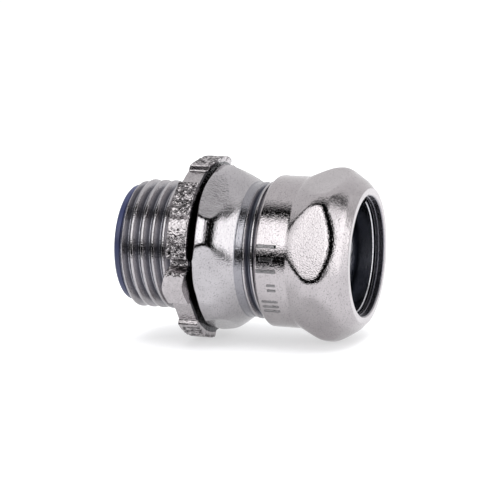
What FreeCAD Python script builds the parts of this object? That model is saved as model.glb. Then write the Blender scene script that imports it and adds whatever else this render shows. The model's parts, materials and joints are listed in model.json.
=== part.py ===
import FreeCAD, Part
import os
import Sketcher

# Half inch compression connector for thin-wall steel conduit.
# The axis of the fitting is X.  The conduit enters from +X and the box
# thread points along -X.  The origin is the centre of the flat shoulder
# that faces the box wall.  All lengths are millimetres.

os.makedirs("parts", exist_ok=True)
doc = FreeCAD.newDocument("compression_connector")
sheet = doc.addObject("Spreadsheet::Sheet", "Sizes")

SIZES = [
    ("conduit_radius", "8.965"),
    ("conduit_clearance", "0.135"),
    ("thread_clearance", "0.1"),
    ("thread_depth_ratio", "0.6"),
    ("thread_root_ratio", "0.06"),
    ("thread_flank_slope", "0.5774"),
    ("thread_cut_margin", "0.05"),
    ("box_thread_radius", "10.5"),
    ("box_thread_pitch", "1.814"),
    ("box_thread_length", "13.8"),
    ("box_thread_lead_in", "0.8"),
    ("box_neck_length", "0.9"),
    ("box_wall", "0.9116"),
    ("stop_ledge", "1.2"),
    ("throat_relief", "0.33"),
    ("liner_wall", "0.85"),
    ("liner_clearance", "0.08"),
    ("liner_length", "9.6"),
    ("liner_flange_length", "1.1"),
    ("liner_flange_reach", "1.05"),
    ("liner_bead_height", "0.22"),
    ("liner_bead_length", "1.0"),
    ("shoulder_ledge", "2.5"),
    ("shoulder_bevel", "0.6"),
    ("hex_length", "2.7"),
    ("hex_round", "0.6"),
    ("hex_flat_depth", "1.05"),
    ("body_cone_length", "3.7"),
    ("body_flat_turn", "50.1"),
    ("neck_length", "1.1"),
    ("neck_step", "0.2"),
    ("socket_stop", "1.0"),
    ("gland_wall", "2.0"),
    ("gland_thread_pitch", "1.411"),
    ("gland_length", "10.5"),
    ("gland_bevel", "1.0"),
    ("nut_standoff", "2.35"),
    ("nut_wall", "1.0"),
    ("nut_back_round", "0.45"),
    ("nut_thread_relief", "0.55"),
    ("nut_crown_offset", "0.6"),
    ("nut_flare_length", "3.85"),
    ("nut_flare_rise", "1.7"),
    ("nut_crown_length", "2.0"),
    ("nut_crown_round", "3.0"),
    ("nut_waist_round", "2.0"),
    ("nut_rim_round", "0.25"),
    ("nut_flat_depth", "1.35"),
    ("nut_flat_turn", "16.3"),
    ("nut_rim_width", "1.25"),
    ("mouth_clearance", "0.585"),
    ("mouth_length", "1.4"),
    ("mouth_gap", "0.35"),
    ("seat_clearance", "0.15"),
    ("ring_gap", "0.5"),
    ("ring_length", "4.75"),
    ("ring_clearance", "0.085"),
    ("ring_wall", "1.5"),
    ("ring_bevel", "0.85"),
    ("ring_split", "1.2"),
    ("ring_split_turn", "115"),
    ("locknut_gap", "0.4"),
    ("locknut_thickness", "3.35"),
    ("locknut_reach", "4.2"),
    ("locknut_edge", "0.35"),
    ("locknut_notch_depth", "1.2"),
    ("locknut_notch_width", "2.2"),
    ("locknut_notch_flare", "0.6"),
    ("locknut_notch_turn", "57.7"),
    ("locknut_crease_depth", "0.25"),
    ("locknut_crease_width", "0.9"),
    ("locknut_crease_turn", "27.7"),
]

DERIVED = [
    ("shoulder_face", "=0 * box_thread_length"),
    ("box_end", "=-box_thread_length"),
    ("box_thread_depth", "=box_thread_pitch * thread_depth_ratio"),
    ("gland_thread_depth", "=gland_thread_pitch * thread_depth_ratio"),
    ("box_chamfer_end", "=box_end + box_thread_lead_in"),
    ("box_root_radius", "=box_thread_radius - box_thread_depth"),
    ("box_tip_radius", "=box_root_radius + 0.1"),
    ("box_neck_start", "=-box_neck_length"),
    ("box_neck_radius", "=box_root_radius - 0.06"),
    ("liner_seat_radius", "=box_root_radius - box_wall"),
    ("liner_outer", "=liner_seat_radius - liner_clearance"),
    ("liner_bore_radius", "=liner_outer - liner_wall"),
    ("liner_end", "=box_end + liner_length"),
    ("liner_seat_end", "=liner_end + 0.3"),
    ("bead_radius", "=liner_outer + liner_bead_height"),
    ("bead_start", "=liner_end - 1.6"),
    ("bead_end", "=bead_start + liner_bead_length"),
    ("bead_groove_radius", "=bead_radius + liner_clearance"),
    ("bead_groove_start", "=bead_start - liner_clearance"),
    ("bead_groove_end", "=bead_end + liner_clearance"),
    ("flange_back", "=box_end - liner_flange_length"),
    ("flange_face", "=box_end - 0.05"),
    ("flange_radius", "=liner_outer + liner_flange_reach"),
    ("flange_edge_radius", "=flange_radius - 0.3"),
    ("flange_edge", "=flange_back + 0.3"),
    ("liner_mouth_radius", "=liner_bore_radius + 0.45"),
    ("liner_mouth_end", "=flange_back + 0.6"),
    ("bead_peak", "=bead_start + 0.4"),
    ("shoulder_radius", "=box_thread_radius + shoulder_ledge"),
    ("shoulder_bevel_end", "=shoulder_bevel"),
    ("hex_radius", "=shoulder_radius + shoulder_bevel"),
    ("body_flat_distance", "=hex_radius - hex_flat_depth"),
    ("body_flat_far", "=hex_radius + 2"),
    ("body_flat_corner", "=body_flat_distance * 1.1547"),
    ("body_flat_half", "=body_flat_distance * 0.57735"),
    ("body_cone_end", "=hex_length + body_cone_length"),
    ("neck_end", "=body_cone_end + neck_length"),
    ("body_front", "=neck_end + gland_length"),
    ("socket_radius", "=conduit_radius + conduit_clearance"),
    ("throat_radius", "=min(socket_radius - stop_ledge; liner_bore_radius + throat_relief)"),
    ("gland_thread_radius", "=socket_radius + gland_wall"),
    ("gland_root_radius", "=gland_thread_radius - gland_thread_depth"),
    ("neck_radius", "=gland_thread_radius - neck_step"),
    ("neck_shoulder", "=neck_end + 0.2"),
    ("bevel_start", "=body_front - gland_bevel"),
    ("bevel_radius", "=socket_radius + gland_bevel"),
    ("gland_tip", "=body_front - 0.6"),
    ("gland_tip_radius", "=gland_thread_radius - 0.6"),
    ("nut_back", "=neck_end + nut_standoff"),
    ("nut_thread_radius", "=gland_thread_radius + thread_clearance"),
    ("nut_thread_minor", "=gland_root_radius + thread_clearance"),
    ("nut_thread_end", "=body_front - nut_thread_relief"),
    ("chamber_radius", "=nut_thread_radius + 0.1"),
    ("barrel_radius", "=nut_thread_radius + nut_wall"),
    ("barrel_back_radius", "=barrel_radius - nut_back_round"),
    ("barrel_back", "=nut_back + nut_back_round"),
    ("crown_start", "=body_front + nut_crown_offset"),
    ("barrel_end", "=crown_start - nut_flare_length"),
    ("crown_radius", "=barrel_radius + nut_flare_rise"),
    ("crown_end", "=crown_start + nut_crown_length"),
    ("nut_flat_distance", "=crown_radius - nut_flat_depth"),
    ("nut_flat_far", "=crown_radius + 2"),
    ("nut_flat_corner", "=nut_flat_distance * 1.1547"),
    ("nut_flat_half", "=nut_flat_distance * 0.57735"),
    ("nut_entry_radius", "=nut_thread_radius + 0.05"),
    ("nut_entry_end", "=nut_back + nut_entry_radius - nut_thread_minor"),
    ("ring_back", "=body_front + ring_gap"),
    ("ring_front", "=ring_back + ring_length"),
    ("ring_bore_radius", "=conduit_radius + ring_clearance"),
    ("ring_outer", "=ring_bore_radius + ring_wall"),
    ("ring_tip_radius", "=ring_outer - ring_bevel"),
    ("ring_bevel_back", "=ring_back + ring_bevel + 0.3"),
    ("ring_tail_radius", "=ring_outer - ring_bevel - 0.3"),
    ("ring_bevel_front", "=ring_front - ring_bevel"),
    ("split_near", "=ring_bore_radius - 1"),
    ("split_far", "=ring_outer + 1"),
    ("split_half", "=ring_split / 2"),
    ("mouth_radius", "=conduit_radius + mouth_clearance"),
    ("mouth_back", "=ring_front + mouth_gap"),
    ("nut_front", "=mouth_back + mouth_length"),
    ("rim_radius", "=mouth_radius + nut_rim_width"),
    ("mouth_edge", "=nut_front - 0.2"),
    ("mouth_edge_radius", "=mouth_radius + 0.2"),
    ("seat_sum", "=ring_front + ring_tip_radius + seat_clearance"),
    ("seat_back", "=seat_sum - chamber_radius"),
    ("seat_front", "=seat_sum - mouth_radius"),
    ("locknut_front", "=-locknut_gap"),
    ("locknut_back", "=locknut_front - locknut_thickness"),
    ("locknut_thread_radius", "=box_thread_radius + thread_clearance"),
    ("locknut_thread_minor", "=box_root_radius + thread_clearance"),
    ("locknut_outer", "=locknut_thread_radius + locknut_reach"),
    ("locknut_edge_radius", "=locknut_outer - locknut_edge"),
    ("locknut_edge_back", "=locknut_back + locknut_edge"),
    ("locknut_edge_front", "=locknut_front - locknut_edge"),
    ("locknut_mouth", "=locknut_thread_radius + 0.1"),
    ("locknut_mouth_back", "=locknut_back + 0.6"),
    ("locknut_mouth_front", "=locknut_front - 0.6"),
    ("notch_floor", "=locknut_outer - locknut_notch_depth"),
    ("notch_floor_half", "=locknut_notch_width / 2 - locknut_notch_flare"),
    ("notch_far", "=locknut_outer + locknut_notch_depth"),
    ("notch_far_half", "=locknut_notch_width / 2 + locknut_notch_flare"),
    ("crease_floor", "=locknut_outer - locknut_crease_depth"),
    ("crease_floor_half", "=locknut_crease_width * 0.1"),
    ("crease_far", "=locknut_outer + locknut_crease_depth"),
    ("crease_far_half", "=locknut_crease_width * 0.9"),
]


def thread_form(name, start, pitch, depth, root, crest, inside):
    """Derived rows for one groove form; an inner groove lies half a pitch on."""
    narrow = "%s * thread_root_ratio" % pitch
    widen = "(%s + thread_cut_margin) * thread_flank_slope" % depth
    rows = [(name + "_start", "=" + start)]
    if inside:
        wide = "%s / 2 - %s + thread_cut_margin * thread_flank_slope" % (pitch, narrow)
        tip = "%s / 2 - %s - %s * thread_flank_slope" % (pitch, narrow, depth)
        rows.append((name + "_wide_radius", "=%s - thread_cut_margin" % root))
        rows.append((name + "_tip_radius", "=" + crest))
    else:
        wide = "%s + %s" % (narrow, widen)
        tip = narrow
        rows.append((name + "_wide_radius", "=%s + thread_cut_margin" % crest))
        rows.append((name + "_tip_radius", "=" + root))
    rows.append((name + "_wide_left", "=%s_start - (%s)" % (name, wide)))
    rows.append((name + "_wide_right", "=%s_start + (%s)" % (name, wide)))
    rows.append((name + "_tip_left", "=%s_start - (%s)" % (name, tip)))
    rows.append((name + "_tip_right", "=%s_start + (%s)" % (name, tip)))
    return rows


THREADS = []
THREADS += thread_form(
    "box_form", "-ceil(box_thread_length / box_thread_pitch + 1) * box_thread_pitch",
    "box_thread_pitch", "box_thread_depth",
    "box_root_radius", "box_thread_radius", False)
THREADS += thread_form(
    "locknut_form", "-(ceil(-locknut_back / box_thread_pitch + 2) + 0.5) * box_thread_pitch",
    "box_thread_pitch", "box_thread_depth",
    "locknut_thread_minor", "locknut_thread_radius", True)
THREADS += thread_form(
    "gland_form", "neck_end + 0.45 * gland_thread_pitch", "gland_thread_pitch",
    "gland_thread_depth", "gland_root_radius", "gland_thread_radius", False)
THREADS += thread_form(
    "nut_form", "gland_form_start - 1.5 * gland_thread_pitch", "gland_thread_pitch",
    "gland_thread_depth", "nut_thread_minor", "nut_thread_radius", True)


def fill_sheet():
    """Write every size into the sheet, driving values first."""
    row = 1
    for name, value in SIZES + DERIVED + THREADS:
        sheet.set("A%d" % row, name)
        sheet.set("B%d" % row, value)
        sheet.setAlias("B%d" % row, name)
        row += 1
    doc.recompute()


def size(name):
    """Value of a named size; a leading minus changes the sign."""
    if name.startswith("-"):
        return -size(name[1:])
    return float(sheet.get(name))


def formula(name):
    """Expression text for a named size."""
    if name.startswith("-"):
        return "-Sizes." + name[1:]
    return "Sizes." + name


def origin_item(body, role):
    """Origin plane or axis of a body."""
    for item in body.Origin.OriginFeatures:
        if item.Role == role:
            return item
    return None


def new_body(name):
    """Empty body whose label is its node name."""
    body = doc.addObject("PartDesign::Body", name)
    body.Label = name
    return body


def add_sketch(body, name, role):
    """Sketch lying on one of the body's origin planes."""
    sketch = body.newObject("Sketcher::SketchObject", name)
    sketch.AttachmentSupport = [(origin_item(body, role), "")]
    sketch.MapMode = "FlatFace"
    return sketch


def closed_outline(sketch, corners):
    """Closed polygon whose corners follow pairs of named sizes."""
    points = [FreeCAD.Vector(size(u), size(v), 0) for u, v in corners]
    count = len(points)
    for i in range(count):
        edge = Part.LineSegment(points[i], points[(i + 1) % count])
        sketch.addGeometry(edge, False)
    for i in range(count):
        link = Sketcher.Constraint("Coincident", i, 2, (i + 1) % count, 1)
        sketch.addConstraint(link)
    for i in range(count):
        place_corner(sketch, i, points[i], corners[i])


def place_corner(sketch, index, point, names):
    """Tie one corner to its two named sizes."""
    across = Sketcher.Constraint("DistanceX", -1, 1, index, 1, point.x)
    number = sketch.addConstraint(across)
    sketch.setExpression("Constraints[%d]" % number, formula(names[0]))
    up = Sketcher.Constraint("DistanceY", -1, 1, index, 1, point.y)
    number = sketch.addConstraint(up)
    sketch.setExpression("Constraints[%d]" % number, formula(names[1]))


def revolve(body, name, corners):
    """Solid of revolution about the X axis."""
    sketch = add_sketch(body, name + "_profile", "XZ_Plane")
    closed_outline(sketch, corners)
    feature = body.newObject("PartDesign::Revolution", name)
    feature.Profile = sketch
    feature.ReferenceAxis = (sketch, ["H_Axis"])
    feature.Angle = 360
    doc.recompute()
    return feature


def turn_sketch(sketch, turn_name):
    """Turn a cross-plane sketch about X by a named angle."""
    turn = FreeCAD.Rotation(FreeCAD.Vector(0, 0, -1), size(turn_name))
    sketch.AttachmentOffset = FreeCAD.Placement(FreeCAD.Vector(0, 0, 0), turn)
    sketch.setExpression("AttachmentOffset.Rotation.Angle", "Sizes." + turn_name)


def cut_across(body, name, corners, turn_name):
    """Cut a cross-plane outline right through along X."""
    sketch = add_sketch(body, name + "_outline", "YZ_Plane")
    closed_outline(sketch, corners)
    turn_sketch(sketch, turn_name)
    doc.recompute()
    return cut_along(body, name, sketch, "")


def cut_hexagon(body, name, length_text):
    """Cut away everything outside a hexagon across the axis."""
    before = body.Tip.Shape.Volume
    sketch = add_sketch(body, name + "_outline", "YZ_Plane")
    near = name + "_distance"
    half = name + "_half"
    corner = name + "_corner"
    closed_outline(sketch, [
        ("-" + near, "-" + half),
        ("-" + near, half),
        ("shoulder_face", corner),
        (near, half),
        (near, "-" + half),
        ("shoulder_face", "-" + corner),
    ])
    far = size(name + "_far")
    centre = FreeCAD.Vector(0, 0, 0)
    edge = sketch.addGeometry(Part.Circle(centre, FreeCAD.Vector(0, 0, 1), far), False)
    sketch.addConstraint(Sketcher.Constraint("Coincident", edge, 3, -1, 1))
    number = sketch.addConstraint(Sketcher.Constraint("Radius", edge, far))
    sketch.setExpression("Constraints[%d]" % number, "Sizes.%s_far" % name)
    turn_sketch(sketch, name + "_turn")
    doc.recompute()
    pocket = cut_along(body, name, sketch, length_text)
    check_less(name, before, pocket.Shape.Volume)


def cut_along(body, name, sketch, length_text):
    """Pocket along X, forward to a length or all through."""
    pocket = body.newObject("PartDesign::Pocket", name)
    pocket.Profile = sketch
    if length_text:
        pocket.Type = 0
        pocket.Reversed = True
        pocket.Length = 5
        pocket.setExpression("Length", length_text)
    else:
        pocket.Type = 1
        pocket.Midplane = True
    doc.recompute()
    return pocket


def cut_six(body, name, corners, turn_name):
    """Cut a cross-plane outline six times round the axis."""
    before = body.Tip.Shape.Volume
    pocket = cut_across(body, name, corners, turn_name)
    pattern = body.newObject("PartDesign::PolarPattern", name + "_pattern")
    pattern.Originals = [pocket]
    pattern.Axis = (origin_item(body, "X_Axis"), [""])
    pattern.Angle = 360
    body.Tip = pattern
    pattern.Occurrences = 6
    doc.recompute()
    check_less(name, before, pattern.Shape.Volume)


def check_less(name, before, after):
    """A cut has to remove something."""
    if not after < before - 0.01:
        raise RuntimeError("cut changed nothing: " + name)


def cut_thread(body, name, pitch_name, length_text):
    """Right-hand helical groove about X."""
    before = body.Tip.Shape.Volume
    sketch = add_sketch(body, name + "_outline", "XZ_Plane")
    closed_outline(sketch, [
        (name + "_tip_left", name + "_tip_radius"),
        (name + "_tip_right", name + "_tip_radius"),
        (name + "_wide_right", name + "_wide_radius"),
        (name + "_wide_left", name + "_wide_radius"),
    ])
    doc.recompute()
    groove = body.newObject("PartDesign::SubtractiveHelix", name)
    groove.Profile = sketch
    groove.ReferenceAxis = (sketch, ["H_Axis"])
    groove.Mode = 0
    groove.LeftHanded = False
    groove.Angle = 0
    groove.Pitch = size(pitch_name)
    groove.setExpression("Pitch", "Sizes." + pitch_name)
    groove.Height = 10
    groove.setExpression("Height", length_text)
    doc.recompute()
    check_less(name, before, groove.Shape.Volume)


def ring_edges(shape, station, radius):
    """Names of the circular edges at one station on the axis."""
    found = []
    for number, edge in enumerate(shape.Edges):
        curve = edge.Curve
        if not isinstance(curve, Part.Circle):
            continue
        same_place = abs(curve.Center.x - station) < 0.001
        if same_place and abs(curve.Radius - radius) < 0.001:
            found.append("Edge%d" % (number + 1))
    return found


def round_ring(body, name, station_name, radius_name, round_name):
    """Round the circular edge at a named station and radius."""
    tip = body.Tip
    edges = ring_edges(tip.Shape, size(station_name), size(radius_name))
    if not edges:
        raise RuntimeError("no edge to round: " + name)
    feature = body.newObject("PartDesign::Fillet", name)
    feature.Base = (tip, edges)
    feature.Radius = size(round_name)
    feature.setExpression("Radius", "Sizes." + round_name)
    doc.recompute()


def slot_corners(floor, floor_half, far, far_half):
    """Slot open to the outside, its floor at a named distance."""
    return [
        ("-" + floor, "-" + floor_half),
        ("-" + floor, floor_half),
        ("-" + far, far_half),
        ("-" + far, "-" + far_half),
    ]


def make_connector_body():
    """Threaded body with wrench hexagon, gland thread and conduit socket."""
    body = new_body("connector_body")
    revolve(body, "box_end_turning", [
        ("box_end", "liner_seat_radius"),
        ("box_end", "box_tip_radius"),
        ("box_chamfer_end", "box_thread_radius"),
        ("box_neck_start", "box_thread_radius"),
        ("box_neck_start", "box_neck_radius"),
        ("shoulder_face", "box_neck_radius"),
        ("shoulder_face", "throat_radius"),
        ("liner_seat_end", "throat_radius"),
        ("liner_seat_end", "liner_seat_radius"),
        ("bead_groove_end", "liner_seat_radius"),
        ("bead_groove_end", "bead_groove_radius"),
        ("bead_groove_start", "bead_groove_radius"),
        ("bead_groove_start", "liner_seat_radius"),
    ])
    run = "Sizes.box_neck_start - Sizes.box_form_start + Sizes.box_thread_pitch"
    cut_thread(body, "box_form", "box_thread_pitch", run)
    revolve(body, "conduit_end_turning", [
        ("shoulder_face", "throat_radius"),
        ("shoulder_face", "shoulder_radius"),
        ("shoulder_bevel_end", "hex_radius"),
        ("hex_length", "hex_radius"),
        ("body_cone_end", "neck_radius"),
        ("neck_end", "neck_radius"),
        ("neck_shoulder", "gland_thread_radius"),
        ("gland_tip", "gland_thread_radius"),
        ("body_front", "gland_tip_radius"),
        ("body_front", "bevel_radius"),
        ("bevel_start", "socket_radius"),
        ("socket_stop", "socket_radius"),
        ("socket_stop", "throat_radius"),
    ])
    run = "Sizes.body_front - Sizes.gland_form_start + Sizes.gland_thread_pitch"
    cut_thread(body, "gland_form", "gland_thread_pitch", run)
    round_ring(body, "hex_front_round", "hex_length", "hex_radius", "hex_round")
    round_ring(body, "hex_back_round", "shoulder_bevel_end", "hex_radius", "hex_round")
    cut_hexagon(body, "body_flat", "Sizes.body_cone_end")


def make_compression_nut():
    """Gland nut: threaded barrel, hexagon crown and inner ring seat."""
    body = new_body("compression_nut")
    revolve(body, "nut_turning", [
        ("nut_back", "nut_entry_radius"),
        ("nut_back", "barrel_back_radius"),
        ("barrel_back", "barrel_radius"),
        ("barrel_end", "barrel_radius"),
        ("crown_start", "crown_radius"),
        ("crown_end", "crown_radius"),
        ("nut_front", "rim_radius"),
        ("nut_front", "mouth_edge_radius"),
        ("mouth_edge", "mouth_radius"),
        ("seat_front", "mouth_radius"),
        ("seat_back", "chamber_radius"),
        ("nut_thread_end", "chamber_radius"),
        ("nut_thread_end", "nut_thread_minor"),
        ("nut_entry_end", "nut_thread_minor"),
    ])
    run = "Sizes.nut_thread_end - Sizes.nut_form_start + Sizes.gland_thread_pitch"
    cut_thread(body, "nut_form", "gland_thread_pitch", run)
    round_ring(body, "crown_back_round", "crown_start", "crown_radius", "nut_crown_round")
    round_ring(body, "crown_front_round", "crown_end", "crown_radius", "nut_crown_round")
    round_ring(body, "waist_round", "barrel_end", "barrel_radius", "nut_waist_round")
    round_ring(body, "rim_round", "nut_front", "rim_radius", "nut_rim_round")
    cut_hexagon(body, "nut_flat", "")


def make_compression_ring():
    """Split ring with a bevel at each end."""
    body = new_body("compression_ring")
    revolve(body, "ring_turning", [
        ("ring_back", "ring_bore_radius"),
        ("ring_back", "ring_tail_radius"),
        ("ring_bevel_back", "ring_outer"),
        ("ring_bevel_front", "ring_outer"),
        ("ring_front", "ring_tip_radius"),
        ("ring_front", "ring_bore_radius"),
    ])
    before = body.Tip.Shape.Volume
    corners = slot_corners("split_near", "split_half", "split_far", "split_half")
    pocket = cut_across(body, "ring_slot", corners, "ring_split_turn")
    check_less("ring_slot", before, pocket.Shape.Volume)


def make_locknut():
    """Stamped locknut with six lugs, each creased in the middle."""
    body = new_body("locknut")
    revolve(body, "locknut_turning", [
        ("locknut_mouth_back", "locknut_thread_minor"),
        ("locknut_back", "locknut_mouth"),
        ("locknut_back", "locknut_edge_radius"),
        ("locknut_edge_back", "locknut_outer"),
        ("locknut_edge_front", "locknut_outer"),
        ("locknut_front", "locknut_edge_radius"),
        ("locknut_front", "locknut_mouth"),
        ("locknut_mouth_front", "locknut_thread_minor"),
    ])
    run = "Sizes.locknut_front - Sizes.locknut_form_start + Sizes.box_thread_pitch"
    cut_thread(body, "locknut_form", "box_thread_pitch", run)
    notch = slot_corners("notch_floor", "notch_floor_half", "notch_far", "notch_far_half")
    cut_six(body, "locknut_notch", notch, "locknut_notch_turn")
    crease = slot_corners("crease_floor", "crease_floor_half", "crease_far", "crease_far_half")
    cut_six(body, "locknut_crease", crease, "locknut_crease_turn")


def make_throat_liner():
    """Snap-in plastic bushing that covers the wire end of the bore."""
    body = new_body("throat_liner")
    revolve(body, "liner_turning", [
        ("flange_back", "liner_mouth_radius"),
        ("flange_back", "flange_edge_radius"),
        ("flange_edge", "flange_radius"),
        ("flange_face", "flange_radius"),
        ("flange_face", "liner_outer"),
        ("bead_start", "liner_outer"),
        ("bead_peak", "bead_radius"),
        ("bead_end", "liner_outer"),
        ("liner_end", "liner_outer"),
        ("liner_end", "liner_bore_radius"),
        ("liner_mouth_end", "liner_bore_radius"),
    ])


def export_parts():
    """Check every object, then write one STEP file per body."""
    doc.recompute()
    for item in doc.Objects:
        if "Invalid" in item.State or "Error" in item.State:
            raise RuntimeError("bad object: " + item.Label)
    for item in doc.Objects:
        if item.TypeId != "PartDesign::Body":
            continue
        if item.Shape.isNull() or not item.Shape.isValid():
            raise RuntimeError("bad shape: " + item.Label)
        if len(item.Shape.Solids) != 1:
            raise RuntimeError("not one solid: " + item.Label)
        item.Shape.exportStep("parts/" + item.Label + ".step")
        print(item.Label, round(item.Shape.Volume, 2))


fill_sheet()
make_connector_body()
make_compression_nut()
make_compression_ring()
make_locknut()
make_throat_liner()
export_parts()
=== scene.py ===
import json
import math
import bpy
import numpy as np
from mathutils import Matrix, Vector


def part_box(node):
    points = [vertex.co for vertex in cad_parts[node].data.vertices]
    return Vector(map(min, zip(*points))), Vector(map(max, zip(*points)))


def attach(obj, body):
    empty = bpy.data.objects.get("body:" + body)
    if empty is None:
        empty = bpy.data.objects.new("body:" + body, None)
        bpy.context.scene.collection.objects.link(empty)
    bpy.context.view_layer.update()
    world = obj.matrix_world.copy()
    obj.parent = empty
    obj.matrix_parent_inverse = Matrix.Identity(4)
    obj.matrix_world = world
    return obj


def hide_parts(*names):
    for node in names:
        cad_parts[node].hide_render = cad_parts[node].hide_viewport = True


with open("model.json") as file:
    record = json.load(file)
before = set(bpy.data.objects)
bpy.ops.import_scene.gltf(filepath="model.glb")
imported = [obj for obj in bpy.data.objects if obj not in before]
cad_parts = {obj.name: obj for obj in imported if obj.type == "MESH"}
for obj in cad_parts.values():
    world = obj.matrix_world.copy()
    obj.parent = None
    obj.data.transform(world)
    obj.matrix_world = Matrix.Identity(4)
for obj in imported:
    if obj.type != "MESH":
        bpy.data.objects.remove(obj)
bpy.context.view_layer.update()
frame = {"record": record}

MM = 0.001
TURNS = 720
LOCK_TURNS = 1440
RING_TURNS = 400


# ----------------------------------------------------------------- sizes

def ends(node):
    """Back and front X of a CAD node, in mm."""
    low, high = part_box(node)
    return low[0] / MM, high[0] / MM


def reach(node):
    """Outer radius of a CAD node, in mm."""
    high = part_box(node)[1]
    return max(high[1], high[2]) / MM


MOUNTS = {mount["name"]: mount for mount in frame["record"]["mounts"]}


def fit_radius(name):
    """Radius of a mount, in mm."""
    return MOUNTS[name]["dims"]["r_mm"]


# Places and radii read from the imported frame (mm).
BODY_BACK, BODY_FRONT = ends("connector_body")
NUT_BACK, NUT_FRONT = ends("compression_nut")
RING_BACK, RING_FRONT = ends("compression_ring")
LOCK_BACK, LOCK_FRONT = ends("locknut")
LINER_BACK, LINER_FRONT = ends("throat_liner")
RING_RIM = reach("compression_ring")
LOCK_RIM = reach("locknut")
LINER_RIM = reach("throat_liner")
BOX_CREST = fit_radius("box_thread")
SOCKET = fit_radius("conduit_bore")
GRIP = fit_radius("ring_grip")
MOUTH = fit_radius("nut_mouth")
LINER_BORE = fit_radius("wire_throat")
STOP = MOUNTS["conduit_stop"]["pos_m"][0] / MM

# Places along X of the body's and the nut's own features (mm).
LAND_END = 2.7
CONE_END = 6.4
WAIST = 7.5
RELIEF_BACK = -0.9
FLARE_START = 15.15
CROWN_START = 18.75
CROWN_END = 20.95
CHAMBER_BACK = 17.45
CHAMBER_FRONT = 21.8

# Radii of those features (mm).
SHOULDER = 13.6
WAIST_RADIUS = 10.9
RELIEF_RADIUS = 9.3
BODY_THROAT = 7.9
BARREL = 12.2
CROWN = 13.98
CHAMBER = 11.3
LOCK_BORE = 10.0
LINER_SEAT = 8.5
LINER_BARREL = 8.42
BEAD_GROOVE = 8.72

# Thread forms (mm). Depth and half the groove's flat are shares of the pitch, and the
# flank slope is how far a flank goes along X for each unit that it rises.
BOX_PITCH = 1.814
GLAND_PITCH = 1.411
GLAND_CREST = 11.1
DEPTH_SHARE = 0.6
GROOVE_SHARE = 0.06
FLANK_SLOPE = 0.5774
THREAD_GAP = 0.1
BOX_DEPTH = DEPTH_SHARE * BOX_PITCH
BOX_ROOT = BOX_CREST - BOX_DEPTH
GLAND_DEPTH = DEPTH_SHARE * GLAND_PITCH
GLAND_ROOT = GLAND_CREST - GLAND_DEPTH
GLAND_PHASE = WAIST + 0.45 * GLAND_PITCH

# Wrench flats: where the first one faces, up from -Y (degrees).
BODY_FLAT_TURN = 50.1
NUT_FLAT_TURN = 16.3


# ---------------------------------------------------------------- shapes

# Rounded corners: steps in each arc, and the most of a side that one corner takes.
ARC_STEPS = 8
LONGEST_CUT = 0.82


def rounded_path(points, radii, step):
    """Dense points along a polyline of (x, r) with its corners rounded."""
    out = []
    last = len(points) - 1
    for i, (point, radius) in enumerate(zip(points, radii)):
        corner = np.array(point, float)
        if i == 0 or i == last or radius <= 0:
            out.append(corner)
            continue
        back = np.array(points[i - 1], float) - corner
        ahead = np.array(points[i + 1], float) - corner
        back_length = np.linalg.norm(back)
        ahead_length = np.linalg.norm(ahead)
        back = back / back_length
        ahead = ahead / ahead_length
        half = math.acos(max(-1.0, min(1.0, float(back @ ahead)))) / 2
        cut = min(radius / math.tan(half), LONGEST_CUT * back_length, LONGEST_CUT * ahead_length)
        radius = cut * math.tan(half)
        middle = (back + ahead) / np.linalg.norm(back + ahead)
        centre = corner + middle * radius / math.sin(half)
        start = corner + back * cut - centre
        end = corner + ahead * cut - centre
        sweep = math.pi - 2 * half
        for k in range(ARC_STEPS + 1):
            t = k / ARC_STEPS
            spoke = start * math.sin((1 - t) * sweep) + end * math.sin(t * sweep)
            out.append(centre + spoke / math.sin(sweep))
    dense = [out[0]]
    for point in out[1:]:
        start = dense[-1]
        count = max(1, int(np.linalg.norm(point - start) / step))
        for k in range(1, count + 1):
            dense.append(start + (point - start) * k / count)
    return np.array(dense)


def soft_min(a, b, k):
    """Smaller of two values, blended where they cross."""
    h = np.clip(0.5 + 0.5 * (b - a) / k, 0, 1)
    return b + (a - b) * h - k * h * (1 - h)


def ease(v):
    """Smooth step from 0 to 1."""
    v = np.clip(v, 0, 1)
    return v * v * (3 - 2 * v)


def apart(degrees, centre):
    """Degrees round from a mark, between -180 and 180."""
    return (degrees - centre + 180.0) % 360.0 - 180.0


def hex_radius(theta, flat, turn):
    """Distance to the nearest side of a hexagon whose first flat faces turn."""
    d = (theta - math.radians(turn) + math.pi / 6) % (math.pi / 3) - math.pi / 6
    return flat / np.cos(d)


def wave(theta, x, seed, terms=7):
    """Smooth unevenness over a turned surface, between -1 and 1."""
    draw = np.random.default_rng(seed)
    total = np.zeros(np.broadcast(theta, x).shape)
    for _ in range(terms):
        lobes = draw.integers(1, 9)
        along = draw.uniform(0.1, 0.9)
        total += np.sin(lobes * theta + along * x + draw.uniform(0, 6.28)) / terms
    return total


def thread(x, theta, pitch, phase, root, depth, softness=0.1):
    """Right-hand thread surface; a groove is at x = phase on the +Z side."""
    alpha = math.pi / 2 - theta
    d = ((x - phase) / pitch - alpha / (2 * math.pi) + 0.5) % 1.0 - 0.5
    d = np.abs(d) * pitch
    rise = np.maximum((d - GROOVE_SHARE * pitch) / FLANK_SLOPE, 0)
    return root + soft_min(rise, np.full_like(rise, depth), softness)


def all_round(count):
    """Even angles round the axis, as one row."""
    return np.linspace(0, 2 * math.pi, count, endpoint=False)[None, :]


def stations(path, count):
    """X as a column and the radius repeated round the axis, from a section."""
    return path[:, 0:1], np.repeat(path[:, 1:2], count, 1)


def link_mesh(name, verts, faces):
    """Mesh object in the scene."""
    mesh = bpy.data.meshes.new(name)
    mesh.from_pydata(verts, [], faces)
    mesh.update()
    obj = bpy.data.objects.new(name, mesh)
    bpy.context.scene.collection.objects.link(obj)
    return obj


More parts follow.
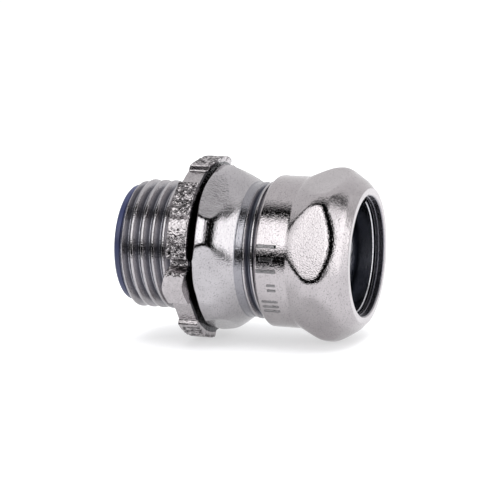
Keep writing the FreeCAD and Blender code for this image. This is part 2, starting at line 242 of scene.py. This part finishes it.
def loop_mesh(name, x, r, theta, whole_turn=True):
    """Smooth mesh of a closed section: rows along it, columns round the axis, in mm."""
    rows, cols = r.shape
    x = np.broadcast_to(x, r.shape)
    theta = np.broadcast_to(theta, r.shape)
    verts = np.stack([x, -r * np.cos(theta), r * np.sin(theta)], -1) * MM
    row = np.arange(rows)
    col = np.arange(cols if whole_turn else cols - 1)
    i0, j0 = np.meshgrid(row, col, indexing="ij")
    i1 = (i0 + 1) % rows
    j1 = (j0 + 1) % cols
    quads = np.stack([i0 * cols + j0, i0 * cols + j1, i1 * cols + j1, i1 * cols + j0], -1)
    faces = [tuple(quad) for quad in quads.reshape(-1, 4).tolist()]
    obj = link_mesh(name, [tuple(v) for v in verts.reshape(-1, 3).tolist()], faces)
    mesh = obj.data
    if signed_volume(mesh) < 0:
        mesh.flip_normals()
    mesh.polygons.foreach_set("use_smooth", [True] * len(mesh.polygons))
    mesh.update()
    return obj


def signed_volume(mesh):
    """Six times the volume inside a mesh, negative when its faces point inwards."""
    mesh.calc_loop_triangles()
    co = np.empty(len(mesh.vertices) * 3)
    mesh.vertices.foreach_get("co", co)
    co = co.reshape(-1, 3)
    tri = np.empty(len(mesh.loop_triangles) * 3, int)
    mesh.loop_triangles.foreach_get("vertices", tri)
    a, b, c = (co[tri.reshape(-1, 3)[:, k]] for k in range(3))
    return float(np.einsum("ij,ij->i", a, np.cross(b, c)).sum())


def paint(obj, name, values):
    """Store one number per vertex for the materials."""
    layer = obj.data.attributes.new(name, "FLOAT", "POINT")
    layer.data.foreach_set("value", values.astype(np.float32).ravel())


def connector_body():
    """Turned and milled body with both outside threads."""
    theta = all_round(TURNS)
    outer = rounded_path(
        [(BODY_BACK, LINER_SEAT), (BODY_BACK, BOX_CREST - 1.0), (BODY_BACK + 0.85, BOX_CREST),
         (RELIEF_BACK, BOX_CREST), (RELIEF_BACK, RELIEF_RADIUS), (0.0, RELIEF_RADIUS),
         (0.0, SHOULDER - 0.6), (0.6, SHOULDER), (LAND_END, SHOULDER), (CONE_END, WAIST_RADIUS),
         (WAIST, WAIST_RADIUS), (WAIST + 0.25, GLAND_CREST), (BODY_FRONT - 0.6, GLAND_CREST),
         (BODY_FRONT, 10.5), (BODY_FRONT, SOCKET + 1.0)],
        [0, 0.1, 0.15, 0.1, 0, 0, 0.15, 0.3, 4.9, 0.3, 0.1, 0.1, 0.1, 0.1, 0], 0.06)
    inner = rounded_path(
        [(BODY_FRONT - 1.0, SOCKET), (STOP, SOCKET), (STOP, BODY_THROAT), (-3.9, BODY_THROAT),
         (-3.9, LINER_SEAT), (-4.72, LINER_SEAT), (-4.72, BEAD_GROOVE), (-5.88, BEAD_GROOVE),
         (-5.88, LINER_SEAT), (BODY_BACK + 0.1, LINER_SEAT)],
        [0.1, 0.05, 0.1, 0.1, 0.02, 0.02, 0.02, 0.02, 0.02, 0], 0.5)
    x, r = stations(outer, TURNS)
    turned = outer[:, 1:2]
    box = thread(x, theta, BOX_PITCH, 0.0, BOX_ROOT, BOX_DEPTH, 0.12)
    r = np.where((x < -0.6) & (turned > 9.0), soft_min(r, box, 0.05), r)
    gland = thread(x, theta, GLAND_PITCH, GLAND_PHASE, GLAND_ROOT, GLAND_DEPTH)
    fade = np.clip((x - WAIST + 0.15) / 0.35, 0, 1)
    r = np.where(x > WAIST - 0.2, soft_min(r, gland * fade + r * (1 - fade), 0.04), r)
    edge = 0.14 + 0.75 * ease((x - 2.6) / 2.2)
    milled = soft_min(r, hex_radius(theta, 13.0 - 0.2 * x, BODY_FLAT_TURN), edge)
    r = np.where((x >= 0.0) & (x < 7.0) & (turned > 10.8), milled, r)
    r = r + np.where((x > 0.4) & (x < 6.8), 0.035 * wave(theta, x, 3), 0)
    bore_x, bore_r = stations(inner, TURNS)
    obj = loop_mesh("connector_body_skin", np.vstack([x, bore_x]), np.vstack([r, bore_r]), theta)
    # Painted shade: thread roots, the waist groove and the bore are stored here for a darker bluish
    # colour and a duller gloss.
    deep_box = np.where(x < -0.6, np.clip((BOX_CREST - 0.25 - r) / 0.6, 0, 1) * 0.55, 0)
    deep_gland = np.where(x > WAIST, np.clip((GLAND_CREST - 0.15 - r) / 0.4, 0, 1) * 0.8, 0)
    neck = np.where((x > 6.2) & (x <= WAIST + 0.2), 0.42, 0.0) + 0 * r
    bore = np.where(bore_x > STOP - 0.1, 1.0, 0.8) + 0 * bore_r
    paint(obj, "dull", np.vstack([np.maximum(np.maximum(deep_box, deep_gland), neck), bore]))
    return obj


def compression_nut():
    """Gland nut with a round barrel and a rounded hexagon crown."""
    theta = all_round(TURNS)
    outer = rounded_path(
        [(NUT_BACK, 11.25), (NUT_BACK, 11.75), (NUT_BACK + 0.45, BARREL), (FLARE_START, BARREL),
         (CROWN_START, CROWN), (CROWN_END, CROWN), (NUT_FRONT - 1.1, 12.05), (NUT_FRONT, 10.85),
         (NUT_FRONT, MOUTH + 0.3), (NUT_FRONT - 0.2, MOUTH + 0.05), (NUT_FRONT - 1.0, MOUTH + 0.05),
         (NUT_FRONT - 1.05, MOUTH - 0.1), (NUT_FRONT - 1.5, MOUTH - 0.1)],
        [0, 0.15, 0.5, 0.9, 4.2, 3.0, 4.0, 0.35, 0.06, 0.06, 0.02, 0.02, 0.05], 0.08)
    inner = rounded_path(
        [(NUT_FRONT - 1.55, MOUTH + 0.1), (CHAMBER_FRONT, CHAMBER), (CHAMBER_BACK, CHAMBER),
         (CHAMBER_BACK, 10.9), (NUT_BACK + 0.35, 10.9), (NUT_BACK + 0.05, 11.2)],
        [0.05, 0.1, 0.05, 0.05, 0.1, 0], 0.05)
    x, r = stations(outer, TURNS)
    turned = outer[:, 1:2]
    flat = 12.62 + 0.07 * (x - 19.1) + 0.6 * ease((15.4 - x) / 1.1)
    edge = 0.3 + 0.38 * ease((x - 20.3) / 1.6)
    milled = soft_min(r, hex_radius(theta, flat, NUT_FLAT_TURN), edge)
    r = np.where((x > 12.5) & (turned > 11.0), milled, r)
    forged = (x > 10.4) & (x < 24.0) & (turned > 10.9)
    r = r + np.where(forged, 0.03 * wave(theta, x, 5), 0)
    bore_x, bore_r = stations(inner, TURNS)
    cut = thread(bore_x, theta, GLAND_PITCH, GLAND_PHASE, GLAND_ROOT + THREAD_GAP, GLAND_DEPTH)
    bore_r = np.where((bore_x < 17.4) & (bore_x > 10.15), cut, bore_r)
    obj = loop_mesh("compression_nut_skin", np.vstack([x, bore_x]), np.vstack([r, bore_r]), theta)
    # Painted shade: the inside of the mouth and the threaded bore are stored here for a darker bluish
    # colour and a duller gloss.
    lip = (x > NUT_FRONT - 1.9) & (turned < MOUTH + 0.2)
    paint(obj, "dull", np.vstack([np.where(lip, 0.6, 0.0) + 0 * r, 0.8 + 0 * bore_r]))
    return obj


# The locknut's rim, in degrees up from -Y: notches and flats with their half widths,
# creases with their half width and depth, and torn stretches with their half width.
NOTCHES = ((-2.8, 4.6), (118.5, 4.6), (229.5, 4.6))
LONG_FLATS = ((62.3, 9.0), (-39.3, 10.2), (174.0, 9.2), (265.0, 10.2))
CREASES = ((27.7, 1.3, 0.4), (146.0, 1.3, 0.3), (203.0, 1.3, 0.3))
TEARS = ((27.7, 27.0), (88.0, 18.0), (-67.5, 18.0), (146.0, 22.0), (243.0, 10.0))
NOTCH_DEPTH = 2.0
FLAT_REACH = 13.68


def torn_grain(theta, x, terms=90):
    """Fine uneven grain for the torn rim."""
    draw = np.random.default_rng(11)
    total = np.zeros(np.broadcast(theta, x).shape)
    for _ in range(terms):
        lobes = draw.integers(30, 210)
        along = draw.uniform(-11, 11)
        total += np.sin(lobes * theta + along * x + draw.uniform(0, 6.28))
    return total / terms ** 0.5


def rim_cuts(deg):
    """How deep the rim is cut and how torn it is, round the locknut."""
    depth = np.zeros_like(deg)
    torn = np.zeros_like(deg) + 0.1
    for centre, half in NOTCHES:
        away = np.abs(apart(deg, centre))
        depth = np.maximum(depth, NOTCH_DEPTH * ease((half + 0.3 - away) / 3.4))
        torn = np.maximum(torn, 0.9 * ease((half + 3 - away) / 2))
    for centre, half in LONG_FLATS:
        away = apart(deg, centre)
        chord = LOCK_RIM - FLAT_REACH / np.cos(np.radians(np.clip(away, -14, 14)))
        depth = np.maximum(depth, chord * ease((half + 0.4 - np.abs(away)) / 1.9))
    for centre, width, crease in CREASES:
        depth = depth + crease * np.clip(1 - np.abs(apart(deg, centre)) / width, 0, 1)
    for centre, half in TEARS:
        torn = np.maximum(torn, ease((half - np.abs(apart(deg, centre))) / 4))
    return depth, torn


def bent(x, r, deg):
    """Move the rim along X where its lugs are bent."""
    out = np.clip((r - 11.2) / 3.6, 0, 1) ** 1.4
    x = x - 1.0 * np.exp(-(apart(deg, -19.0) / 9.5) ** 2) * out
    x = x + 0.25 * np.exp(-(apart(deg, -2.8) / 4.0) ** 2) * out
    lift = np.clip((r - 13.0) / 1.8, 0, 1) ** 1.2
    x = x + 0.85 * np.exp(-(apart(deg, 92.0) / 21.0) ** 4) * lift
    return x - 0.7 * np.exp(-(apart(deg, 203.0) / 14.0) ** 2) * out


def locknut():
    """Stamped locknut: creased lugs, three narrow notches and four long flats."""
    theta = all_round(LOCK_TURNS)
    deg = np.degrees(theta)
    section = rounded_path(
        [(LOCK_BACK + 0.85, LOCK_BORE), (LOCK_BACK, 10.7), (LOCK_BACK, LOCK_RIM),
         (LOCK_FRONT, LOCK_RIM), (LOCK_FRONT, 10.7), (LOCK_FRONT - 0.6, LOCK_BORE)],
        [0.1, 0.15, 0.22, 0.25, 0.15, 0.1], 0.08)
    x, r = stations(section, LOCK_TURNS)
    x = np.repeat(x, LOCK_TURNS, 1)
    cut_reach = np.clip((r - 12.0) / 2.8, 0, 1)
    depth, torn = rim_cuts(deg)
    r = r - depth * cut_reach
    x = bent(x, r, deg)
    grain = torn_grain(theta, x)
    rim = np.clip((r - 12.6) / 0.5, 0, 1)
    torn = torn * (1 - 0.75 * np.exp(-(apart(deg, 22.0) / 7.0) ** 2))
    r = np.minimum(r + rim * torn * 0.085 * (grain - 0.5), LOCK_RIM)
    x = x + np.where(r > 12.5, 0.02 * torn * grain, 0)
    bore_x = np.linspace(LOCK_FRONT - 0.65, LOCK_BACK + 0.9, 40)[:, None]
    bore_x = np.repeat(bore_x, LOCK_TURNS, 1)
    bore_r = thread(bore_x, theta, BOX_PITCH, 0.0, BOX_ROOT + THREAD_GAP, BOX_DEPTH)
    obj = loop_mesh("locknut_skin", np.vstack([x, bore_x]), np.vstack([r, bore_r]), theta)
    edge = ease((r + depth * cut_reach - 14.1) / 0.5)
    paint(obj, "torn", np.vstack([edge * torn, np.zeros_like(bore_r)]))
    return obj


def throat_liner():
    """Moulded throat bushing with a rolled flange and a snap bead."""
    flange_front = BODY_BACK - 0.06
    path = rounded_path(
        [(LINER_FRONT, LINER_BORE), (LINER_BACK + 0.6, LINER_BORE), (LINER_BACK, 8.0),
         (LINER_BACK, LINER_RIM - 0.3), (LINER_BACK + 0.3, LINER_RIM), (flange_front, LINER_RIM),
         (flange_front, LINER_BARREL), (-5.8, LINER_BARREL), (-5.4, 8.64), (-4.8, LINER_BARREL),
         (LINER_FRONT, LINER_BARREL)],
        [0.05, 0.6, 0.4, 0.4, 0.3, 0.12, 0.02, 0.05, 0.1, 0.05, 0.05], 0.15)
    x, r = stations(path, TURNS)
    return loop_mesh("throat_liner_skin", x, r, all_round(TURNS))


def compression_ring():
    """Split ring: a section swept almost all the way round, with both cut ends closed."""
    path = rounded_path(
        [(RING_BACK, GRIP), (RING_BACK, GRIP + 0.35), (RING_BACK + 1.15, RING_RIM),
         (RING_FRONT - 0.85, RING_RIM), (RING_FRONT, GRIP + 0.65), (RING_FRONT, GRIP), (20.9, GRIP)],
        [0.05, 0.1, 0.15, 0.15, 0.12, 0.22, 0], 0.1)
    half_gap = 0.06  # radians
    start = math.radians(115) + half_gap
    theta = np.linspace(start, start + 2 * math.pi - 2 * half_gap, RING_TURNS)[None, :]
    x, r = stations(path, RING_TURNS)
    sweep = loop_mesh("compression_ring_skin", x, r, theta, whole_turn=False)
    verts = [tuple(v.co) for v in sweep.data.vertices]
    faces = [tuple(p.vertices) for p in sweep.data.polygons]
    sides = len(faces)
    rows = len(path)
    faces.append(tuple(i * RING_TURNS for i in range(rows)))
    faces.append(tuple(i * RING_TURNS + RING_TURNS - 1 for i in reversed(range(rows))))
    name = sweep.name
    bpy.data.objects.remove(sweep)
    obj = link_mesh(name, verts, faces)
    for polygon in obj.data.polygons[:sides]:
        polygon.use_smooth = True
    return obj


def raised_bar(name, x0, turn, length, width):
    """Small raised bar along X on the nut's barrel."""
    rows = 10
    profile = ((-1, 0.0), (-0.8, 0.1), (0.8, 0.1), (1, 0.0))
    sunk = 0.02
    verts = []
    for i in range(rows):
        full = 0.0 if i in (0, rows - 1) else 1.0
        x = x0 + (i / (rows - 1) - 0.5) * length
        for side, height in profile:
            angle = math.radians(turn) + side * width / 2 / BARREL
            r = BARREL - sunk + (height + sunk) * full
            verts.append((x * MM, -r * math.cos(angle) * MM, r * math.sin(angle) * MM))
    cols = len(profile)
    faces = []
    for i in range(rows - 1):
        for j in range(cols - 1):
            a = i * cols + j
            faces.append((a, a + 1, a + cols + 1, a + cols))
    return link_mesh(name, verts, faces)


# ------------------------------------------------------------- materials

GRAIN_DEPTH = 0.00006
PEEL_DEPTH = 0.00008
TURNING_DEPTH = 0.00002
PIT_STRENGTH = 0.75
# Bluish dark colour: painted shade in thread roots, the waist groove, the bores and the nut's mouth.
RECESS_SHADE_COLOUR = (0.085, 0.095, 0.13)
# Near-black colour: painted shade for the gap between the locknut and the body's shoulder.
GAP_SHADE_COLOUR = (0.02, 0.02, 0.025)


def new_material(name):
    """Node material, its tree and its shader."""
    mat = bpy.data.materials.new(name)
    mat.use_nodes = True
    return mat, mat.node_tree, mat.node_tree.nodes["Principled BSDF"]


def feed(tree, value, socket):
    """Link a socket, or set a plain number or colour."""
    if isinstance(value, (int, float)):
        socket.default_value = value
    elif isinstance(value, tuple):
        socket.default_value = (*value, 1)
    else:
        tree.links.new(value, socket)


def noise(tree, coords, scale, detail=4.0, rough=0.5, stretch=None):
    """Noise texture, stretched along the axes if asked."""
    node = tree.nodes.new("ShaderNodeTexNoise")
    node.inputs["Scale"].default_value = scale
    node.inputs["Detail"].default_value = detail
    node.inputs["Roughness"].default_value = rough
    if stretch:
        mapping = tree.nodes.new("ShaderNodeMapping")
        mapping.inputs["Scale"].default_value = stretch
        tree.links.new(coords, mapping.inputs["Vector"])
        coords = mapping.outputs["Vector"]
    tree.links.new(coords, node.inputs["Vector"])
    return node.outputs["Fac"]


def ramp(tree, fac, stops):
    """Colour ramp from a list of places and colours."""
    node = tree.nodes.new("ShaderNodeValToRGB")
    elements = node.color_ramp.elements
    elements[0].position = stops[0][0]
    elements[0].color = (*stops[0][1], 1)
    elements[1].position = stops[-1][0]
    elements[1].color = (*stops[-1][1], 1)
    for place, colour in stops[1:-1]:
        elements.new(place).color = (*colour, 1)
    tree.links.new(fac, node.inputs["Fac"])
    return node.outputs["Color"]


def math_node(tree, operation, a, b):
    """One sum on two sockets or numbers."""
    node = tree.nodes.new("ShaderNodeMath")
    node.operation = operation
    feed(tree, a, node.inputs[0])
    feed(tree, b, node.inputs[1])
    return node.outputs[0]


def mix_colour(tree, factor, a, b, blend="MIX"):
    """Colour a with b laid over it."""
    node = tree.nodes.new("ShaderNodeMix")
    node.data_type = "RGBA"
    node.blend_type = blend
    feed(tree, factor, node.inputs["Factor"])
    feed(tree, a, node.inputs["A"])
    feed(tree, b, node.inputs["B"])
    return node.outputs["Result"]


def bump(tree, height, distance, strength=1.0, under=None):
    """Bump layer, over another one if given."""
    node = tree.nodes.new("ShaderNodeBump")
    node.inputs["Strength"].default_value = strength
    node.inputs["Distance"].default_value = distance
    tree.links.new(height, node.inputs["Height"])
    if under:
        tree.links.new(under, node.inputs["Normal"])
    return node.outputs["Normal"]


def painted(tree, name):
    """Numbers stored on the mesh by paint."""
    node = tree.nodes.new("ShaderNodeAttribute")
    node.attribute_name = name
    return node.outputs["Fac"]


def painted_gap_shade(tree, coords, colour, back, front, radius):
    """Painted shade: near-black colour between two places along X, inside a radius (metres), for the
    shaded gap between the locknut and the body's shoulder.
    """
    split = tree.nodes.new("ShaderNodeSeparateXYZ")
    tree.links.new(coords, split.inputs["Vector"])
    edge = math_node(tree, "MULTIPLY", noise(tree, coords, 900, 3.0), 0.0002)
    place = math_node(tree, "ADD", split.outputs["X"], edge)
    above = math_node(tree, "GREATER_THAN", place, back)
    below = math_node(tree, "LESS_THAN", place, front)
    across = math_node(tree, "MULTIPLY", split.outputs["Y"], split.outputs["Y"])
    up = math_node(tree, "MULTIPLY", split.outputs["Z"], split.outputs["Z"])
    near = math_node(tree, "LESS_THAN", math_node(tree, "ADD", across, up), radius ** 2)
    inside = math_node(tree, "MULTIPLY", math_node(tree, "MULTIPLY", above, below), near)
    return mix_colour(tree, math_node(tree, "MULTIPLY", inside, 0.93), colour, GAP_SHADE_COLOUR)


def zinc(name, tint, gloss, grain, peel, turning=0.0, gap_shade=None, tears=False, dulled_and_shaded=False):
    """Bright zinc plate: uneven gloss, fine grain, pits and a little orange peel, with painted shade
    in recesses and gaps where asked.
    """
    mat, tree, bsdf = new_material(name)
    coords = tree.nodes.new("ShaderNodeTexCoord").outputs["Object"]
    dark, middle, light = (tuple(c * k for c in tint) for k in (0.90, 1.0, 1.07))
    cloud = noise(tree, coords, 260, 3.0, 0.55)
    colour = ramp(tree, cloud, [(0.25, dark), (0.5, middle), (0.75, light)])
    pits = ramp(tree, noise(tree, coords, 5600, 1.0), [(0.30, (0.45, 0.45, 0.47)), (0.42, (1, 1, 1))])
    colour = mix_colour(tree, PIT_STRENGTH, colour, pits, "MULTIPLY")
    if tears:
        scars = ramp(tree, noise(tree, coords, 1500, 3.0, 0.65),
                     [(0.46, (0.10, 0.10, 0.105)), (0.56, (1.2, 1.2, 1.2))])
        amount = math_node(tree, "MULTIPLY", painted(tree, "torn"), 0.85)
        colour = mix_colour(tree, amount, colour, scars, "MULTIPLY")
    rough = math_node(tree, "MULTIPLY", noise(tree, coords, 420, 2.0), gloss[1] - gloss[0])
    rough = math_node(tree, "ADD", rough, gloss[0])
    if dulled_and_shaded:
        # Painted shade in recesses: a darker bluish colour, with more roughness, where the numbers
        # stored on the mesh ask.
        shade_and_dull = painted(tree, "dull")
        colour = mix_colour(tree, shade_and_dull, colour, RECESS_SHADE_COLOUR)
        rough = math_node(tree, "ADD", rough, math_node(tree, "MULTIPLY", shade_and_dull, 0.34))
    # Painted shade: near-black colour in the gap between the locknut and the body's shoulder, where
    # ranges are given.
    if gap_shade:
        colour = painted_gap_shade(tree, coords, colour, *gap_shade)
    feed(tree, colour, bsdf.inputs["Base Color"])
    feed(tree, rough, bsdf.inputs["Roughness"])
    bsdf.inputs["Metallic"].default_value = 1.0
    normal = bump(tree, noise(tree, coords, 4200, 2.0, 0.6), GRAIN_DEPTH * grain)
    normal = bump(tree, noise(tree, coords, 1100, 2.0, 0.4), PEEL_DEPTH * peel, under=normal)
    if turning:
        lines = noise(tree, coords, 1.0, 3.0, 0.6, (5200, 60, 60))
        normal = bump(tree, lines, TURNING_DEPTH, turning, normal)
    feed(tree, normal, bsdf.inputs["Normal"])
    return mat


def blue_plastic():
    """Dark blue moulded plastic with a faint texture."""
    mat, tree, bsdf = new_material("blue_plastic_moulded")
    coords = tree.nodes.new("ShaderNodeTexCoord").outputs["Object"]
    shades = [(0.3, (0.012, 0.017, 0.062)), (0.7, (0.022, 0.030, 0.095))]
    feed(tree, ramp(tree, noise(tree, coords, 350, 3.0), shades), bsdf.inputs["Base Color"])
    rough = math_node(tree, "MULTIPLY", noise(tree, coords, 700, 2.0), 0.2)
    feed(tree, math_node(tree, "ADD", rough, 0.28), bsdf.inputs["Roughness"])
    feed(tree, bump(tree, noise(tree, coords, 1800, 3.0), 0.00004, 0.25), bsdf.inputs["Normal"])
    return mat


# Painted shade: the body and the nut darken their recesses from numbers stored on their meshes, with
# a duller gloss.
# Painted shade: the body's and the locknut's last X ranges and radii paint the shaded gap between the
# locknut and the shoulder near black.
body_mat = zinc("zinc_body_plate", (0.42, 0.405, 0.42), (0.03, 0.10), 0.55, 0.16,
                turning=0.2, gap_shade=(-0.002, 0.0001, 0.0133), dulled_and_shaded=True)
nut_mat = zinc("zinc_nut_plate", (0.42, 0.395, 0.405), (0.03, 0.10), 0.6, 0.16, dulled_and_shaded=True)
ring_mat = zinc("ring_plate", (0.55, 0.55, 0.57), (0.10, 0.2), 0.4, 0.2, turning=0.4)
lock_mat = zinc("locknut_plate", (0.42, 0.395, 0.405), (0.06, 0.16), 0.6, 0.4,
                gap_shade=(-0.00062, 0.0006, 0.0139), tears=True)
mark_mat = zinc("raised_mark_plate", (0.2, 0.195, 0.2), (0.12, 0.26), 0.8, 0.3)
plastic = blue_plastic()


# ---------------------------------------------------------------- pieces

def dress(obj, mat, slot_name, body, *nodes):
    """Give a piece its material and body, and hide the CAD nodes it stands for; slot_name is not
    used.
    """
    obj.data.materials.clear()
    obj.data.materials.append(mat)
    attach(obj, body)
    if nodes:
        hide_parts(*nodes)


dress(connector_body(), body_mat, "zinc_body", "connector", "connector_body")
dress(compression_nut(), nut_mat, "zinc_nut", "nut", "compression_nut")
dress(compression_ring(), ring_mat, "ring_steel", "ring", "compression_ring")
dress(locknut(), lock_mat, "locknut_steel", "locknut", "locknut")
dress(throat_liner(), plastic, "blue_plastic", "liner", "throat_liner")

# Plain raised bars stand for every mark on the barrel: place, turn, length and width.
MARKS = [(12.0, 13.0, 3.4, 0.6), (12.0, 3.6, 2.4, 0.6), (12.0, -5.5, 3.4, 0.6),
         (12.7, -16.5, 1.5, 0.45), (12.7, -20.7, 1.5, 0.45),
         (12.1, -31.0, 2.8, 0.42), (12.1, -36.0, 2.8, 0.42), (12.1, -41.0, 2.8, 0.42)]
for k, (place, turn, length, width) in enumerate(MARKS):
    bar = raised_bar("mark_bar_%d" % (k + 1), place, turn, length, width)
    dress(bar, mark_mat, "zinc_nut", "nut")


# ----------------------------------------------------------------- stage

FLOOR_HALF = 1500.0
FLOOR_COLOUR = (0.50, 0.505, 0.515)
FLOOR_GLOW = 0.52
CARD_COLOUR = (0.004, 0.004, 0.004)
CARD_STEPS = 24


def stage_mesh(name, verts, faces, colour, glow):
    """Matt surface that isn't part of the object."""
    obj = link_mesh(name, verts, faces)
    mat, _, bsdf = new_material(name + "_finish")
    bsdf.inputs["Base Color"].default_value = (*colour, 1)
    bsdf.inputs["Roughness"].default_value = 0.9
    bsdf.inputs["Specular IOR Level"].default_value = 0.0
    if glow:
        bsdf.inputs["Emission Color"].default_value = (1, 1, 1, 1)
        bsdf.inputs["Emission Strength"].default_value = glow
    obj.data.materials.append(mat)
    return obj


# The fitting lies on its locknut and the nut's crown, so the floor slopes under it.
LOCK_PLACE = -2.0
LOCK_LOW = -LOCK_RIM - 0.03
CROWN_PLACE = 20.0
CROWN_LOW = -13.95
SLOPE = (CROWN_LOW - LOCK_LOW) / (CROWN_PLACE - LOCK_PLACE)


def floor_corner(x, y):
    """Point of the floor, in metres."""
    return (x * MM, y * MM, (LOCK_LOW + SLOPE * (x - LOCK_PLACE)) * MM)


SQUARE = ((-1, -1), (1, -1), (1, 1), (-1, 1))
floor = [floor_corner(i * FLOOR_HALF, j * FLOOR_HALF) for i, j in SQUARE]
stage_mesh("floor", floor, [(0, 1, 2, 3)], FLOOR_COLOUR, FLOOR_GLOW)


def card(name, radius, low, high, x0, x1, glow=0.0):
    """Bent card that only reflections see: an arc round X, its angles up from -Y."""
    verts = []
    for i in range(CARD_STEPS + 1):
        angle = math.radians(low + (high - low) * i / CARD_STEPS)
        for x in (x0, x1):
            verts.append((x * MM, -radius * math.cos(angle) * MM, radius * math.sin(angle) * MM))
    faces = [(2 * i, 2 * i + 1, 2 * i + 3, 2 * i + 2) for i in range(CARD_STEPS)]
    obj = stage_mesh(name, verts, faces, CARD_COLOUR, glow)
    obj.visible_camera = False
    obj.visible_diffuse = False
    obj.visible_shadow = False
    obj.visible_transmission = False


# Dark flags and bright softboxes round the fitting, in mm and degrees.
card("flag_low", 54, -14.0, 11.5, -240, 42)
card("flag_low_right", 54, -15.0, -5.0, 42, 64)
card("card_near", 42, -21.0, -1.0, 52, 300, 2.4)
card("flag_high", 200, 56.0, 81.0, -900, 150)
card("flag_cone", 60, 83.0, 98.0, 40, 75)
card("flag_nose", 300, 97.0, 106.0, 234, 1500)
card("flag_flare", 300, 9.5, 60, -900, -435)
card("softbox_left", 300, 9.5, 60, -435, -110, 1.7)
card("softbox_barrel", 300, 9.5, 60, -110, 0, 2.7)
card("softbox_gap", 298, 8, 66, 0, 234)
card("softbox_right", 302, -4, 97, 234, 1500, 2.4)
card("flag_back", 54, 169, 192, -240, 0)


def area_light(name, place, size, watts):
    """Soft light aimed at the fitting and kept out of its reflections."""
    light = bpy.data.lights.new(name, "AREA")
    light.shape = "RECTANGLE"
    light.size, light.size_y = size
    light.energy = watts
    obj = bpy.data.objects.new(name, light)
    bpy.context.scene.collection.objects.link(obj)
    target = Vector((0.005, 0, 0))
    obj.location = place
    obj.rotation_euler = (target - Vector(place)).to_track_quat("-Z", "Y").to_euler()
    obj.visible_glossy = False


area_light("top_light", (0.05, -0.05, 0.75), (0.8, 0.6), 6.0)
area_light("back_light", (0.0, 0.6, 0.45), (0.8, 0.4), 2.0)

scene = bpy.context.scene
world = bpy.data.worlds.new("studio")
scene.world = world
world.use_nodes = True
background = world.node_tree.nodes["Background"]
background.inputs["Color"].default_value = (1.0, 0.995, 1.0, 1)
background.inputs["Strength"].default_value = 1.0
scene.view_settings.view_transform = "Standard"
scene.view_settings.look = "None"
scene.view_settings.exposure = 0.0


# ---------------------------------------------------------------- camera

AZIMUTH = math.radians(19.7)
ELEVATION = math.radians(10.1)
DISTANCE = 0.34
LENS = 151.2
AIM = Vector((0.0051, 0, -0.0002))

level = math.cos(ELEVATION)
away = Vector((math.sin(AZIMUTH) * level, -math.cos(AZIMUTH) * level, math.sin(ELEVATION)))
cam_data = bpy.data.cameras.new("camera")
cam_data.sensor_width = 36.0
cam_data.lens = LENS
cam_data.clip_start = 0.01
cam_data.clip_end = 20
camera = bpy.data.objects.new("camera", cam_data)
scene.collection.objects.link(camera)
camera.location = AIM + away * DISTANCE
camera.rotation_euler = (-away).to_track_quat("-Z", "Y").to_euler()
scene.camera = camera
